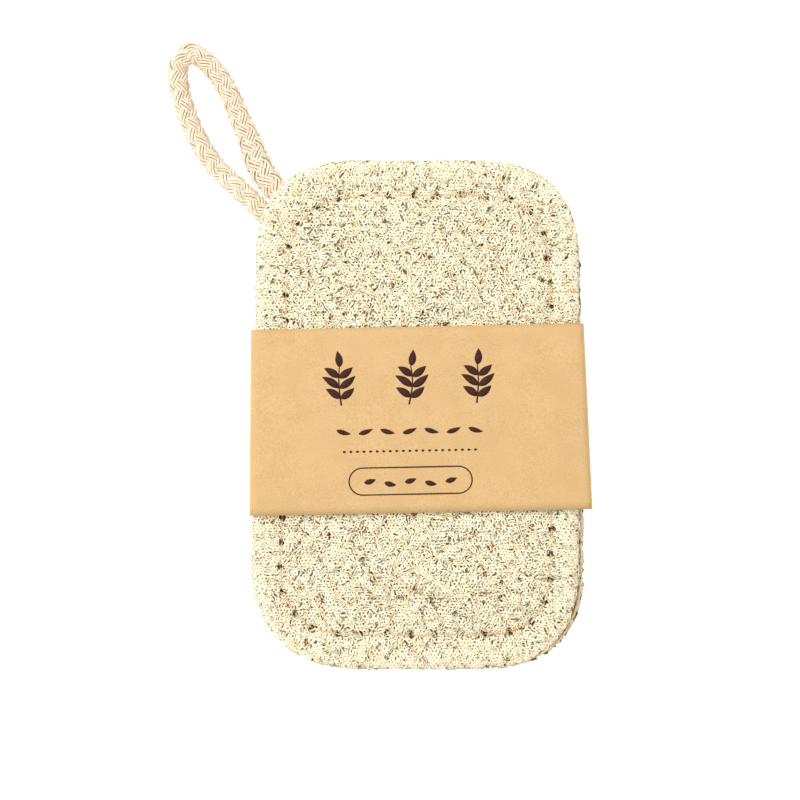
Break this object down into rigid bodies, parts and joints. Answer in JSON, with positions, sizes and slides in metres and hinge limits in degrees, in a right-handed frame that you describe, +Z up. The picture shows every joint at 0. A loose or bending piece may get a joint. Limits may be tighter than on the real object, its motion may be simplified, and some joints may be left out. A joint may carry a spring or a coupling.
{
  "type": "loofah scrubbing pad",
  "caption": "Flat rounded loofah scrubbing pad, sewn round its edge, with a braided cotton hang loop in one corner and a kraft-paper band round the middle.",
  "frame": {"origin": "under the middle of the pad and its band, on the surface that it lies on", "axes": "+Y along the pad's length, towards the end with the hang loop; +Z up, out of the front face"},
  "size_m": [0.1016, 0.1491, 0.0144],
  "materials": {
    "loofah": "dry, matt net of cream plant fibres",
    "thread": "twisted tan cotton thread",
    "cord": "braided unbleached cotton",
    "paper": "uncoated kraft paper"
  },
  "bodies": {
    "root": {"loofah_front": "loofah", "loofah_back": "loofah", "seam_thread_front": "thread", "seam_thread_back": "thread", "hang_loop": "cord", "paper_band": "paper"}
  },
  "joints": []
}
